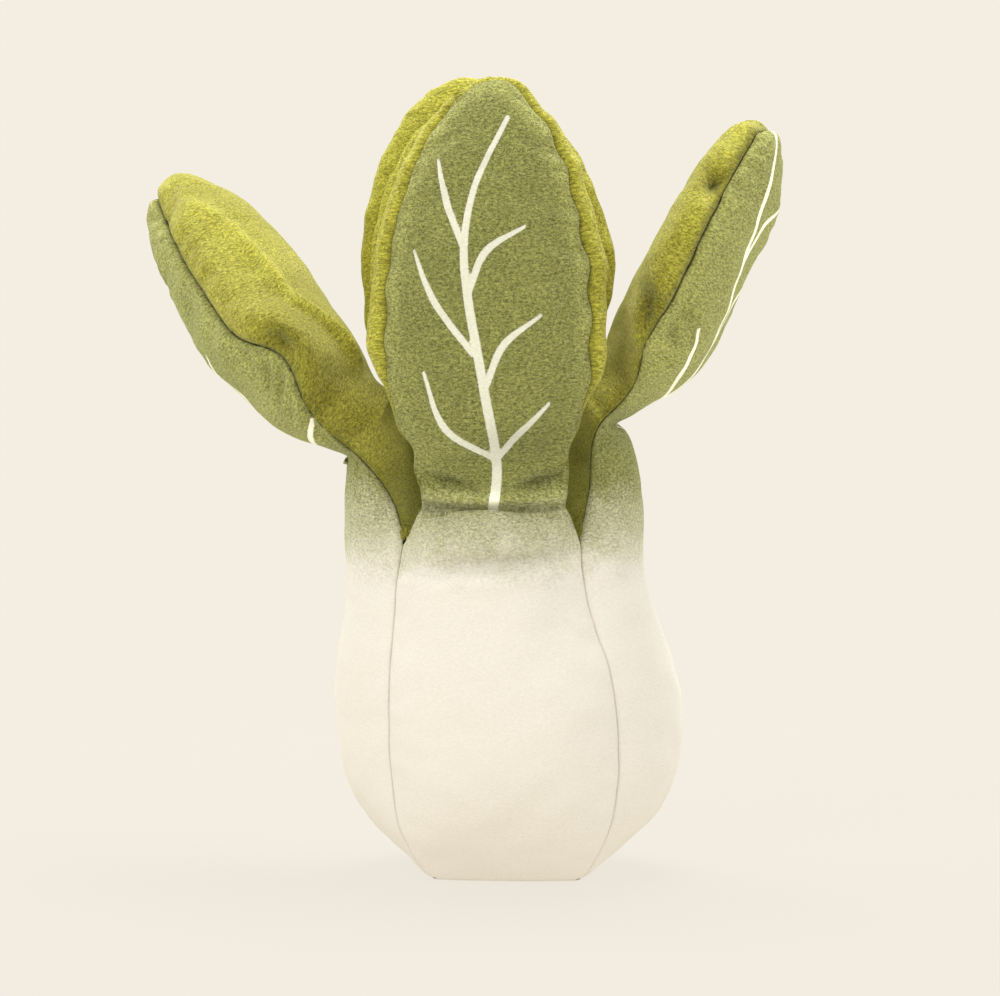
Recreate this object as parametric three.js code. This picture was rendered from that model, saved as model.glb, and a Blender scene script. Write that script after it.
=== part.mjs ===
// A stuffed plush bok choy that stands on a small square base. Millimetres, +Z up, origin at the middle of
// the base. Four printed plush covers each run from the base, up one side of the round body, over a folded
// crease and on to a leaf's tip. Each leaf has its own inner cloth face and filling, and a fifth leaf stands
// inside them.
import * as THREE from "three";
import { mergeVertices } from "three/addons/utils/BufferGeometryUtils.js";

// ---- Driving dimensions -------------------------------------------------------------------------
const CLOTH = 2.2; // plush cloth with its pile
const GAP = 0.4; // clearance between neighbouring pieces of cloth
const LOOSE = 1.3; // clearance round a filling
const BASE_THICK = 2.4; // base cloth
const BEAN_TOP = 19; // top of the pouch of beans in the base
const FORK_Z = 103; // height where neighbouring covers part and each leaf starts on its own
const THROAT_Z = 95; // height of the middle of the throat, where the inner faces meet
const THROAT_R = 2.2; // how near the inner faces come to the axis
const FLAT_EDGE_Z = 86; // height where the covers' edges start to turn flat towards the fork
const EDGE_INSET = 1.15; // how much faster a cover narrows than it thins
const BODY_TURN = -3; // degrees that the whole toy is turned about Z
const SWAY = -4.5; // how far the neck and leaves stand to one side of the base
const SWAY_FROM_Z = 40;
const SWAY_TO_Z = 100;
const SHORTEN = 1.3; // how much shorter a leaf's deeper layer is, per millimetre of depth
const NARROW = 1.2; // how much narrower it is on each side
const LEAST_SWELL = 0.1; // share of its swell that a deeper layer keeps at least
const TIP_POWER = 0.42; // how round a leaf's end is: 0.5 is an ellipse, and less is blunter
const SWELL_POWER = 8; // how late a leaf's faces close towards its tip
const OUTER_ANGLES = [28, 72]; // half angle of the outer face's arc, in degrees, at the foot and fullest
const INNER_ANGLES = [24, 110]; // the same for the inner face
const NECK_HANDLES = [0.45, 0.25]; // how straight the neck leaves the fork and reaches the crease, as shares
const THROAT_DROP = 2; // how far below the fork the inner faces meet beside it
const EDGE_SLOPE = 1.5; // how much an inner face narrows on each side, per millimetre that it is lifted
const BODY_FILLING_Z = [27, 38, 50, 64, 78, 90]; // heights of the body filling's rings above its lowest one
const BEAN_Z = [6, 11, BEAN_TOP];
const ROUGHNESS = 0.9;

// Height above the base, radius at the middle of a cover, radius at the seam between two covers.
const BODY_PROFILE = [
  [0, 23.5, 31.5],
  [4, 29.5, 36],
  [10, 36.5, 39.8],
  [18, 44, 44.2],
  [27, 49, 46.8],
  [38, 51.6, 48.2],
  [50, 52, 47.6],
  [64, 50.2, 45.9],
  [78, 46.8, 42.8],
  [90, 45.4, 39.8],
  [FORK_Z, 45.2, 36.8],
];

// Distance along a leaf as a share of its length, half width as a share of the largest.
const LEAF_OUTLINE = [
  [0, 0.7],
  [0.1, 0.73],
  [0.25, 0.93],
  [0.38, 1],
  [0.5, 0.98],
  [0.6, 0.93],
  [0.7, 0.84],
  [0.81, 0.68],
  [0.92, 0.44],
  [1, 0],
];
const HEART_OUTLINE = [
  [0, 0.28],
  [0.1, 0.34],
  [0.22, 0.46],
  [0.35, 0.68],
  [0.48, 0.92],
  [0.6, 1],
  [0.72, 0.95],
  [0.83, 0.79],
  [0.92, 0.55],
  [1, 0],
];

// Angles are in degrees. azimuth 0 faces -Y and 90 faces +X. lean is measured outwards from upright.
// outer and inner say how far each face swells from the leaf's middle, at its foot and where it is fullest.
const LEAVES = {
  front: {
    azimuth: 0, drift: 0, roll: 0, footR: 33, footZ: 112.5, leanFoot: 9, leanTip: -6,
    length: 124.5, halfWidth: 31.3, outer: [5.5, 11], inner: [9, 14], throat: 15.5,
  },
  right: {
    azimuth: 90, drift: -3, roll: -11, footR: 34, footZ: 138, leanFoot: 53, leanTip: 17,
    length: 99, halfWidth: 31.3, outer: [4.5, 10.5], inner: [13, 22], throat: 17,
  },
  back: {
    azimuth: 180, drift: 19, roll: 0, footR: 33, footZ: 114, leanFoot: 12, leanTip: 0,
    length: 124.5, halfWidth: 31.3, outer: [5.5, 11], inner: [9, 14], throat: 16,
  },
  left: {
    azimuth: -90, drift: -22, roll: 12, footR: 42, footZ: 128, leanFoot: 56, leanTip: 38,
    length: 107.5, halfWidth: 31.3, outer: [4.5, 15], inner: [19.5, 27], throat: 17,
  },
};
const HEART = {
  azimuth: 180, drift: 15, roll: 0, footR: 2.5, footZ: 101, leanFoot: 2, leanTip: 4,
  length: 133, halfWidth: 34, outer: [3.5, 9], inner: [3.5, 9],
};

const COLOURS = {
  cream: 0xf1ead6, sage: 0x93a35f, chartreuse: 0xa3a12c, fibre: 0xf4f3ee, beans: 0xd9d6cc,
};

// ---- Small maths --------------------------------------------------------------------------------
const radians = THREE.MathUtils.degToRad;
const lerp = THREE.MathUtils.lerp;
const smooth = (a, b, x) => THREE.MathUtils.smoothstep(x, a, b);

// A smooth curve through rows of [x, y, ...], read in column k. It is flat-limited, so it never overshoots.
function through(rows, x, k = 1) {
  const last = rows.length - 1;
  if (x <= rows[0][0]) return rows[0][k];
  if (x >= rows[last][0]) return rows[last][k];
  const rise = (i) => (rows[i + 1][k] - rows[i][k]) / (rows[i + 1][0] - rows[i][0]);
  const slope = (i) => {
    if (i === 0) return rise(0);
    if (i === last) return rise(last - 1);
    const [a, b] = [rise(i - 1), rise(i)];
    return a * b <= 0 ? 0 : (2 * a * b) / (a + b);
  };
  const i = rows.findIndex((row) => row[0] > x) - 1;
  const h = rows[i + 1][0] - rows[i][0];
  const t = (x - rows[i][0]) / h;
  const [t2, t3] = [t * t, t * t * t];
  return (
    (2 * t3 - 3 * t2 + 1) * rows[i][k] + (t3 - 2 * t2 + t) * h * slope(i) +
    (3 * t2 - 2 * t3) * rows[i + 1][k] + (t3 - t2) * h * slope(i + 1)
  );
}

// Half width share near a leaf's tip falls off as a round end does.
function outlineShare(outline, s) {
  const knee = outline[outline.length - 2];
  if (s < knee[0]) return through(outline, s);
  return knee[1] * Math.pow(Math.max(0, (1 - s) / (1 - knee[0])), TIP_POWER);
}

// The point at u (-1 to 1) on an arc over a chord: how far sideways, and how high, both as shares.
function arc(u, halfAngle) {
  const a = u * halfAngle;
  return {
    side: Math.sin(a) / Math.sin(halfAngle),
    rise: (Math.cos(a) - Math.cos(halfAngle)) / (1 - Math.cos(halfAngle)),
  };
}

// ---- Sections -----------------------------------------------------------------------------------
// A section is a chord with an arc on its outer and inner side: mid, across and out are vectors.
function frameAt(azimuth) {
  const a = radians(azimuth + BODY_TURN);
  return {
    radial: new THREE.Vector3(Math.sin(a), -Math.cos(a), 0),
    across: new THREE.Vector3(Math.cos(a), Math.sin(a), 0),
  };
}

function place(azimuth, r, z) {
  const axis = new THREE.Vector3(SWAY * smooth(SWAY_FROM_Z, SWAY_TO_Z, z), 0, z);
  return axis.addScaledVector(frameAt(azimuth).radial, r);
}

// A cover's section on the body at height z, moved inwards by depth. Towards the fork its edge turns to lie
// flat against the inner face.
function bodySection(leaf, z, depth) {
  const lobe = through(BODY_PROFILE, z, 1) - depth;
  const seam = through(BODY_PROFILE, z, 2) / Math.SQRT2;
  const inset = (depth * EDGE_INSET) / Math.SQRT2;
  const chord = seam - inset * (1 - smooth(FLAT_EDGE_Z, FORK_Z, z));
  const sag = lobe - chord;
  return {
    mid: place(leaf.azimuth, chord, z),
    across: frameAt(leaf.azimuth).across,
    out: frameAt(leaf.azimuth).radial.multiplyScalar(sag),
    halfWidth: seam - inset - GAP / 2,
    outAngle: 2 * Math.atan(sag / seam),
  };
}

// Where the leaf's middle line is at share s of its length, with the frame it carries there.
function leafFrame(leaf, s) {
  const steps = 40;
  const lean = (t) => radians(lerp(leaf.leanFoot, leaf.leanTip, smooth(-0.25, 0.9, t)));
  let [r, z] = [leaf.footR, leaf.footZ];
  for (let i = 0; i < steps; i++) {
    const a = lean(((i + 0.5) / steps) * s);
    r += (Math.sin(a) * s * leaf.length) / steps;
    z += (Math.cos(a) * s * leaf.length) / steps;
  }
  const azimuth = leaf.azimuth + leaf.drift * smooth(0, 0.75, s);
  const { radial, across } = frameAt(azimuth);
  const up = new THREE.Vector3(0, 0, 1);
  const along = radial.clone().multiplyScalar(Math.sin(lean(s))).addScaledVector(up, Math.cos(lean(s)));
  across.applyAxisAngle(along, radians(leaf.roll * smooth(0, 0.6, s)));
  return { mid: place(azimuth, r, z), across, out: across.clone().cross(along).normalize(), along };
}

// How far one face of a leaf swells at s, less depth, from its swell at the foot and at its fullest.
function fullness([foot, fullest], s, depth) {
  const closing = Math.sqrt(Math.max(0, 1 - Math.pow(s, SWELL_POWER)));
  const swell = lerp(foot, fullest, smooth(0, 0.3, s)) * closing;
  return Math.max(swell - depth, swell * LEAST_SWELL);
}

// A leaf's section at s, shrunk by depth on every side.
function leafSection(leaf, s, depth, outline = LEAF_OUTLINE) {
  const short = 1 - (SHORTEN * depth) / leaf.length;
  const narrow = 1 - (NARROW * depth) / leaf.halfWidth;
  const frame = leafFrame(leaf, s * short);
  return {
    ...frame,
    halfWidth: leaf.halfWidth * outlineShare(outline, s) * narrow,
    outRise: fullness(leaf.outer, s, depth),
    inRise: fullness(leaf.inner, s, depth),
    outAngle: radians(lerp(...OUTER_ANGLES, smooth(0, 0.2, s))),
    inAngle: radians(lerp(...INNER_ANGLES, smooth(0, 0.4, s))),
  };
}

// Between the fork and the crease the section changes from the body's to the leaf's. t runs from 0 to 1.
function shoulderSection(leaf, t, depth) {
  const body = bodySection(leaf, FORK_Z, depth);
  const foot = leafSection(leaf, 0, depth);
  const rise = foot.mid.z - FORK_Z;
  const mid = new THREE.CubicBezierCurve3(
    body.mid,
    body.mid.clone().setZ(FORK_Z + rise * NECK_HANDLES[0]),
    foot.mid.clone().addScaledVector(foot.along, -rise * NECK_HANDLES[1]),
    foot.mid,
  ).getPoint(t);
  const crease = foot.mid.clone().addScaledVector(foot.out, foot.outRise);
  const lobe = body.mid.clone().add(body.out);
  const turn = (t * Math.PI) / 2;
  const height = lerp(lobe.z, crease.z, Math.sin(turn)) - depth * Math.sin(2 * turn);
  const centre = crease.clone().lerp(lobe, Math.cos(turn)).setZ(height);
  const throat = place(leaf.azimuth, leaf.throat + depth, FORK_Z - THROAT_DROP);
  const neck = foot.mid.clone().addScaledVector(foot.out, -foot.inRise);
  return {
    mid,
    across: body.across.clone().lerp(foot.across, t).normalize(),
    out: centre.sub(mid),
    inn: throat.lerp(neck, smooth(0, 1, t)).sub(mid),
    halfWidth: lerp(body.halfWidth, foot.halfWidth, t),
    outAngle: lerp(body.outAngle, foot.outAngle, t),
    inAngle: foot.inAngle,
  };
}

const onArc = (section, u, vector, angle, halfWidth) => {
  const { side, rise } = arc(u, angle);
  return section.mid.clone()
    .addScaledVector(section.across, side * halfWidth)
    .addScaledVector(vector, rise);
};

// Rows of points from side to side over the outer face of a section, or a gap away over its inner face.
function outerRow(section, columns) {
  const out = section.out.clone().multiplyScalar(section.outRise ?? 1);
  return spread(columns).map((u) => onArc(section, u, out, section.outAngle, section.halfWidth));
}

function innerRow(section, columns) {
  const inn = section.inn ?? section.out.clone().multiplyScalar(-section.inRise);
  const away = inn.clone().normalize().multiplyScalar(GAP);
  const halfWidth = Math.max(section.halfWidth - EDGE_SLOPE * GAP, 0);
  return spread(columns).map((u) => onArc(section, u, inn, section.inAngle, halfWidth).add(away));
}

const spread = (n) => Array.from({ length: n + 1 }, (_, i) => (2 * i) / n - 1);
const shares = (n) => Array.from({ length: n + 1 }, (_, i) => i / n);
const endShares = (n) => shares(n).map((t) => 1 - Math.pow(1 - t, 1.5)); // closer rows near the tip

// ---- Closed meshes from rows --------------------------------------------------------------------
class Skin {
  constructor() {
    this.points = [];
  }

  triangle(a, b, c) {
    const thin = (p, q) => p.distanceTo(q) < 2e-3;
    if (thin(a, b) || thin(b, c) || thin(c, a)) return;
    this.points.push(...a.toArray(), ...b.toArray(), ...c.toArray());
  }

  quad(a, b, c, d) {
    this.triangle(a, b, c);
    this.triangle(a, c, d);
  }

  rows(grid, flip) {
    for (let i = 0; i + 1 < grid.length; i++)
      for (let j = 0; j + 1 < grid[i].length; j++) {
        const [a, b, c, d] = [grid[i][j], grid[i][j + 1], grid[i + 1][j + 1], grid[i + 1][j]];
        if (flip) this.quad(a, d, c, b);
        else this.quad(a, b, c, d);
      }
    return this;
  }

  fan(centre, ring, flip) {
    ring.forEach((p, j) => {
      const q = ring[(j + 1) % ring.length];
      if (flip) this.triangle(centre, q, p);
      else this.triangle(centre, p, q);
    });
    return this;
  }

  geometry() {
    const g = new THREE.BufferGeometry();
    g.setAttribute("position", new THREE.Float32BufferAttribute(this.points, 3));
    return mergeVertices(g, 1e-3);
  }
}

// A solid between two grids of the same size: the outside, the inside and the four edges.
function solidBetween(outside, inside, flip = false) {
  const skin = new Skin().rows(outside, flip).rows(inside, !flip);
  const border = (grid) => [
    ...grid[0],
    ...grid.slice(1).map((row) => row[row.length - 1]),
    ...grid[grid.length - 1].slice(0, -1).reverse(),
    ...grid.slice(1, -1).map((row) => row[0]).reverse(),
  ];
  const [a, b] = [border(outside), border(inside)];
  const ring = (points) => [...points, points[0]];
  return skin.rows([ring(a), ring(b)], !flip).geometry();
}

// A solid whose rings run round it, closed at both ends by a fan.
function solidOfRings(rings) {
  const sum = (ring) => ring.reduce((total, p) => total.add(p), new THREE.Vector3());
  const middle = (ring) => sum(ring).divideScalar(ring.length);
  const skin = new Skin().rows(rings.map((ring) => [...ring, ring[0]]), false);
  skin.fan(middle(rings[0]), rings[0], true);
  skin.fan(middle(rings[rings.length - 1]), rings[rings.length - 1], false);
  return skin.geometry();
}

// ---- Pieces -------------------------------------------------------------------------------------
const COLUMNS = 8;
const BODY_ROWS = 9;
const SHOULDER_ROWS = 5;
const LEAF_ROWS = 10;
const FLAP_ROWS = 2;
const toy = new THREE.Group();

function add(name, geometry, color) {
  const cloth = new THREE.MeshStandardMaterial({ color, roughness: ROUGHNESS, metalness: 0 });
  const mesh = new THREE.Mesh(geometry, cloth);
  mesh.name = name;
  toy.add(mesh);
}

// The base seam is a little above the floor, and the covers tuck under to it.
const COVER_FOOT_Z = BASE_THICK + GAP;

// A leaf's sections from just above the fork to its tip.
function leafSections(leaf, depth) {
  const shoulder = shares(SHOULDER_ROWS).slice(1).map((t) => shoulderSection(leaf, t, depth));
  const blade = endShares(LEAF_ROWS).slice(1).map((s) => leafSection(leaf, s, depth));
  return [...shoulder, ...blade];
}

function coverRows(leaf, depth) {
  const body = shares(BODY_ROWS).map((t) => bodySection(leaf, lerp(COVER_FOOT_Z, FORK_Z, t), depth));
  return [...body, ...leafSections(leaf, depth)].map((section) => outerRow(section, COLUMNS));
}

// The inner face's lowest rows run in from the fork to the middle of the throat.
function flapSection(leaf, t, depth) {
  const start = shoulderSection(leaf, 0, depth);
  const chord = lerp(THROAT_R, start.halfWidth, t);
  const z = lerp(THROAT_Z, FORK_Z, t);
  return {
    ...start,
    mid: place(leaf.azimuth, chord + GAP, z).setZ(z - depth),
    halfWidth: chord - GAP / 2,
    inn: start.inn.clone().multiplyScalar(t * t).setZ(-THROAT_DROP * t),
  };
}

function innerRows(leaf, depth) {
  const flap = shares(FLAP_ROWS).slice(0, -1).map((t) => flapSection(leaf, t, depth));
  const fork = shoulderSection(leaf, 0, depth);
  return [...flap, fork, ...leafSections(leaf, depth)].map((section) => innerRow(section, COLUMNS));
}

// A filling lies between the outer and the inner rows of the sections, and stops short of the tip.
function fillingOf(sections) {
  const held = sections.slice(0, -1);
  return solidBetween(
    held.map((section) => outerRow(section, COLUMNS)),
    held.map((section) => innerRow(section, COLUMNS)),
  );
}

for (const [side, leaf] of Object.entries(LEAVES)) {
  add(`cover_${side}`, solidBetween(coverRows(leaf, 0), coverRows(leaf, CLOTH)), COLOURS.cream);
  const innerFace = solidBetween(innerRows(leaf, 0), innerRows(leaf, CLOTH), true);
  add(`inner_face_${side}`, innerFace, COLOURS.chartreuse);
  add(`leaf_filling_${side}`, fillingOf(leafSections(leaf, CLOTH + LOOSE)), COLOURS.fibre);
}

const heartSection = (s, depth) => leafSection(HEART, s, depth, HEART_OUTLINE);
const heartSections = (depth) => endShares(LEAF_ROWS).map((s) => heartSection(s, depth));
const heartRows = (depth, row) => heartSections(depth).map((section) => row(section, COLUMNS));
add("heart_leaf_outer_face", solidBetween(heartRows(0, outerRow), heartRows(CLOTH, outerRow)), COLOURS.sage);
add(
  "heart_leaf_inner_face",
  solidBetween(heartRows(0, innerRow), heartRows(CLOTH, innerRow), true),
  COLOURS.chartreuse,
);
add("heart_leaf_filling", fillingOf(heartSections(CLOTH + LOOSE).slice(1)), COLOURS.fibre);

// A ring right round the body at height z, made of the four covers' own arcs.
function bodyRing(z, depth) {
  const rows = Object.values(LEAVES).map((leaf) => outerRow(bodySection(leaf, z, depth), COLUMNS));
  return rows.flatMap((row) => row.slice(0, -1));
}

const inside = CLOTH + LOOSE;
add(
  "body_filling",
  solidOfRings([BEAN_TOP + GAP, ...BODY_FILLING_Z].map((z) => bodyRing(z, inside))),
  COLOURS.fibre,
);
add(
  "bean_pouch",
  solidOfRings([BASE_THICK + 2 * GAP, ...BEAN_Z].map((z) => bodyRing(z, inside + GAP))),
  COLOURS.beans,
);

// The base is a square of cloth with its edges turned up under the covers.
add("base_panel", solidOfRings([0, BASE_THICK].map((z) => bodyRing(z, 0))), COLOURS.cream);

export default toy;
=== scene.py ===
"""The looks of a stuffed plush bok choy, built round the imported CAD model: its covers, faces and seams."""

import math

import bpy
import numpy as np
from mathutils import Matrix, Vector, kdtree


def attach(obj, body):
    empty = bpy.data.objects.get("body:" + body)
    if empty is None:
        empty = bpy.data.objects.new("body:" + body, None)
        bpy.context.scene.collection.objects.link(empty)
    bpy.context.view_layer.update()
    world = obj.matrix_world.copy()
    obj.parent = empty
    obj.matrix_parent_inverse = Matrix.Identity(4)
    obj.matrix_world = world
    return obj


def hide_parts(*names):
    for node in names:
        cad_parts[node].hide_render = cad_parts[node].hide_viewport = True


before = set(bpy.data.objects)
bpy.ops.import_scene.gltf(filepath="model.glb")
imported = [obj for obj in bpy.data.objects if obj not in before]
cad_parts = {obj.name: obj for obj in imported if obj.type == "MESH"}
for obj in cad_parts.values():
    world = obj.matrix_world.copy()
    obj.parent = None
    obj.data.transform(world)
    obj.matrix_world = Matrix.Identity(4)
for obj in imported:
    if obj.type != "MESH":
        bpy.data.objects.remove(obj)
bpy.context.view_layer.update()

MM = 0.001

# ---- Driving dimensions, in millimetres and degrees ----------------------------------------------
# They are the CAD model's, but for SWELL_POWER and for the side leaves' roll, length and inner faces.
FORK_Z = 103.0  # where neighbouring covers part and each leaf starts on its own
THROAT_Z = 95.0  # where the inner faces meet, between the leaves
BODY_TURN = -3.0
SWAY, SWAY_FROM_Z, SWAY_TO_Z = -4.5, 40.0, 100.0
BASE_EDGE_Z = 1.2  # where the covers are sewn to the base panel

# Height above the base, radius at the middle of a cover, radius at the seam between two covers.
BODY_PROFILE = [
    (0, 23.5, 31.5), (4, 29.5, 36), (10, 36.5, 39.8), (18, 44, 44.2), (27, 49, 46.8), (38, 51.6, 48.2),
    (50, 52, 47.6), (64, 50.2, 45.9), (78, 46.8, 42.8), (90, 45.4, 39.8), (FORK_Z, 45.2, 36.8),
]
# Share of a leaf's length, half width as a share of the largest.
LEAF_OUTLINE = [
    (0, 0.7), (0.1, 0.73), (0.25, 0.93), (0.38, 1), (0.5, 0.98), (0.6, 0.93), (0.7, 0.84), (0.81, 0.68),
    (0.92, 0.44), (1, 0),
]
HEART_OUTLINE = [
    (0, 0.28), (0.1, 0.34), (0.22, 0.46), (0.35, 0.68), (0.48, 0.92), (0.6, 1), (0.72, 0.95), (0.83, 0.79),
    (0.92, 0.55), (1, 0),
]
# azimuth turns a leaf round the body, drift turns its tip on further, roll turns it about its own length.
# outer and inner are how far its faces swell, at its foot and above.
LEAVES = {
    "front": dict(
        azimuth=0, drift=0, roll=0, foot_r=33, foot_z=112.5, lean_foot=9, lean_tip=-6, length=124.5,
        half_width=31.3, outer=(5.5, 11), inner=(9, 14), throat=15.5,
    ),
    "right": dict(
        azimuth=90, drift=-3, roll=-14, foot_r=34, foot_z=138, lean_foot=53, lean_tip=17, length=98,
        half_width=31.3, outer=(4.5, 10.5), inner=(13, 19), throat=17,
    ),
    "back": dict(
        azimuth=180, drift=19, roll=0, foot_r=33, foot_z=114, lean_foot=12, lean_tip=0, length=124.5,
        half_width=31.3, outer=(5.5, 11), inner=(9, 14), throat=16,
    ),
    "left": dict(
        azimuth=-90, drift=-22, roll=12, foot_r=42, foot_z=128, lean_foot=56, lean_tip=38, length=107.5,
        half_width=31.3, outer=(4.5, 15), inner=(19.5, 26), throat=17,
    ),
}
HEART = dict(
    azimuth=180, drift=15, roll=0, foot_r=2.5, foot_z=101, lean_foot=2, lean_tip=4, length=133,
    half_width=34, outer=(3.5, 9), inner=(3.5, 9),
)
MIDDLE_LINE_STEPS = 40  # along a leaf, to add up how it bends
TIP_ROW_POWER = 1.7  # how much closer the rows stand towards a leaf's tip
TIP_POWER, SWELL_POWER = 0.42, 5  # how round a leaf's outline and its swell end at the tip
OUTER_ANGLES, INNER_ANGLES = (28, 72), (24, 110)  # half the arc of a leaf's section, at its foot and above
NECK_HANDLES = (0.45, 0.25)  # how far the neck's curve runs on from the body, and back from the leaf
THROAT_DROP = 2.0  # how far below the fork the inner faces meet beside it

# ---- Cloth ---------------------------------------------------------------------------------------
COLUMNS = 28  # across a cover, before it is refined
BODY_ROWS, SHOULDER_ROWS, LEAF_ROWS, FLAP_ROWS = 40, 10, 46, 5
REFINE = 4  # finer steps for each coarse one
SEED = 7
EDGE_SEED, COVER_SEED, INNER_SEED, HEART_SEED = 40, 10, 20, 30
SEAM_GAP = 777  # keeps the waves along one seam unlike those along the next
OUTWARD_SHARE = 1.5  # how far the shared normal at a leaf's seam turns outward

# The veins' printed lines on a leaf, from its crease: (across, up) where each starts, bends and ends.
MAIN_VEIN = [(1.4, -1), (2.7, 14), (-0.6, 36), (-5.2, 62), (-6.3, 79), (-3, 96), (5.7, 115)]
SIDE_VEINS = [
    [(-6.6, 77.2), (-12, 91), (-14.3, 102.5)],
    [(-3.9, 46.5), (-14.5, 60.5), (-21.8, 76.5)],
    [(1.8, 15.2), (-12, 24.5), (-18.8, 41)],
    [(-4.8, 65), (0, 76), (11, 83.2)],
    [(0, 37.3), (5, 49), (15.8, 57.6)],
    [(4.2, 16.7), (9.5, 23), (18.5, 32)],
    [(2, 9.5), (13, 11.5), (25, 15)],
]
MAIN_HALF_WIDTH = (1.55, 1.35, 0.75)  # where a vein starts, at its middle and at its tip
SIDE_HALF_WIDTH = (1.0, 1.15, 0.5)
SIDE_VEINS_SEEN = {
    "front": (0, 1, 2, 3, 4, 5),
    "back": (0, 1, 2, 3, 4, 5),
    "left": (0, 1, 2, 3, 4, 6),
    "right": (2, 3, 4, 5),
}


# ---- Small maths ---------------------------------------------------------------------------------
def lerp(a, b, t):
    return a + (b - a) * t


def smooth(a, b, x):
    t = np.clip((np.asarray(x, float) - a) / (b - a), 0, 1)
    return t * t * (3 - 2 * t)


def bell(x, width):
    """1 at 0, falling off softly to both sides."""
    return np.exp(-((x / width) ** 2))


def unit(v):
    return v / np.maximum(np.linalg.norm(v, axis=-1, keepdims=True), 1e-12)


def through(rows, x, k=1):
    """A smooth curve through rows of (x, y, ...), read in column k. It never overshoots."""
    xs = np.array([row[0] for row in rows], float)
    ys = np.array([row[k] for row in rows], float)
    if x <= xs[0]:
        return ys[0]
    if x >= xs[-1]:
        return ys[-1]
    rise = np.diff(ys) / np.diff(xs)
    between = [0 if a * b <= 0 else 2 * a * b / (a + b) for a, b in zip(rise, rise[1:])]
    slope = np.r_[rise[0], between, rise[-1]]
    i = np.searchsorted(xs, x, side="right") - 1
    h = xs[i + 1] - xs[i]
    t = (x - xs[i]) / h
    return (
        (2 * t**3 - 3 * t**2 + 1) * ys[i] + (t**3 - 2 * t**2 + t) * h * slope[i]
        + (3 * t**2 - 2 * t**3) * ys[i + 1] + (t**3 - t**2) * h * slope[i + 1]
    )


def outline_share(outline, s):
    """Half width share at s. Past the last row but one it falls off as a round end does."""
    knee_s, knee = outline[-2]
    if s < knee_s:
        return through(outline, s)
    return knee * max(0.0, (1 - s) / (1 - knee_s)) ** TIP_POWER


# ---- Sections: a chord with an arc on its outer and its inner side -------------------------------
def frame_at(azimuth):
    a = math.radians(azimuth + BODY_TURN)
    return np.array([math.sin(a), -math.cos(a), 0]), np.array([math.cos(a), math.sin(a), 0])


def place(azimuth, r, z):
    return np.array([SWAY * smooth(SWAY_FROM_Z, SWAY_TO_Z, z), 0, z]) + frame_at(azimuth)[0] * r


def body_section(leaf, z):
    radial, across = frame_at(leaf["azimuth"])
    lobe, chord = through(BODY_PROFILE, z, 1), through(BODY_PROFILE, z, 2) / math.sqrt(2)
    sag = lobe - chord
    return dict(mid=place(leaf["azimuth"], chord, z), across=across, out=radial * sag, half_width=chord,
                out_angle=2 * math.atan(sag / chord))


def rotated(v, axis, angle):
    cosine = math.cos(angle)
    return v * cosine + np.cross(axis, v) * math.sin(angle) + axis * (axis @ v) * (1 - cosine)


def leaf_section(leaf, s, outline=LEAF_OUTLINE):
    """The section at share s of the leaf's length. Its middle line bends from lean_foot to lean_tip."""
    def lean(t):
        return np.radians(lerp(leaf["lean_foot"], leaf["lean_tip"], smooth(-0.25, 0.9, t)))

    steps = (np.arange(MIDDLE_LINE_STEPS) + 0.5) / MIDDLE_LINE_STEPS * s
    r = leaf["foot_r"] + np.mean(np.sin(lean(steps))) * s * leaf["length"]
    z = leaf["foot_z"] + np.mean(np.cos(lean(steps))) * s * leaf["length"]
    azimuth = leaf["azimuth"] + leaf["drift"] * smooth(0, 0.75, s)
    radial, across = frame_at(azimuth)
    along = radial * math.sin(lean(s)) + np.array([0, 0, math.cos(lean(s))])
    across = rotated(across, along, math.radians(leaf["roll"]) * smooth(0, 0.6, s))
    out = np.cross(across, along)
    end = math.sqrt(max(0.0, 1 - s**SWELL_POWER))
    grow = smooth(0, 0.3, s)
    return dict(
        mid=place(azimuth, r, z), across=across, along=along,
        half_width=leaf["half_width"] * outline_share(outline, s),
        out=out * lerp(*leaf["outer"], grow) * end, inn=-out * lerp(*leaf["inner"], grow) * end,
        out_angle=math.radians(lerp(*OUTER_ANGLES, smooth(0, 0.2, s))),
        in_angle=math.radians(lerp(*INNER_ANGLES, smooth(0, 0.4, s))),
    )


def shoulder_section(leaf, t):
    """Between the fork and the crease the section turns from the body's to the leaf's."""
    body, foot = body_section(leaf, FORK_Z), leaf_section(leaf, 0)
    rise = foot["mid"][2] - FORK_Z
    a, d = body["mid"], foot["mid"]
    b, c = a + np.array([0, 0, rise * NECK_HANDLES[0]]), d - foot["along"] * rise * NECK_HANDLES[1]
    mid = a * (1 - t) ** 3 + 3 * b * t * (1 - t) ** 2 + 3 * c * t**2 * (1 - t) + d * t**3
    crease, lobe = foot["mid"] + foot["out"], body["mid"] + body["out"]
    turn = t * math.pi / 2
    centre = lerp(crease, lobe, math.cos(turn))
    centre[2] = lerp(lobe[2], crease[2], math.sin(turn))
    throat = place(leaf["azimuth"], leaf["throat"], FORK_Z - THROAT_DROP)
    return dict(
        mid=mid, across=unit(lerp(body["across"], foot["across"], t)), out=centre - mid,
        inn=lerp(throat, foot["mid"] + foot["inn"], smooth(0, 1, t)) - mid,
        half_width=lerp(body["half_width"], foot["half_width"], t),
        out_angle=lerp(body["out_angle"], foot["out_angle"], t), in_angle=foot["in_angle"],
    )


def flap_section(leaf, t):
    """The inner face's lowest rows run in from the fork to the middle of the throat."""
    fork = shoulder_section(leaf, 0)
    chord = fork["half_width"] * t
    inn = fork["inn"] * t * t
    inn[2] = -THROAT_DROP * t
    return dict(fork, mid=place(leaf["azimuth"], chord, FORK_Z) + [0, 0, lerp(THROAT_Z - FORK_Z, 0, t)],
                half_width=chord, inn=inn)


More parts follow.
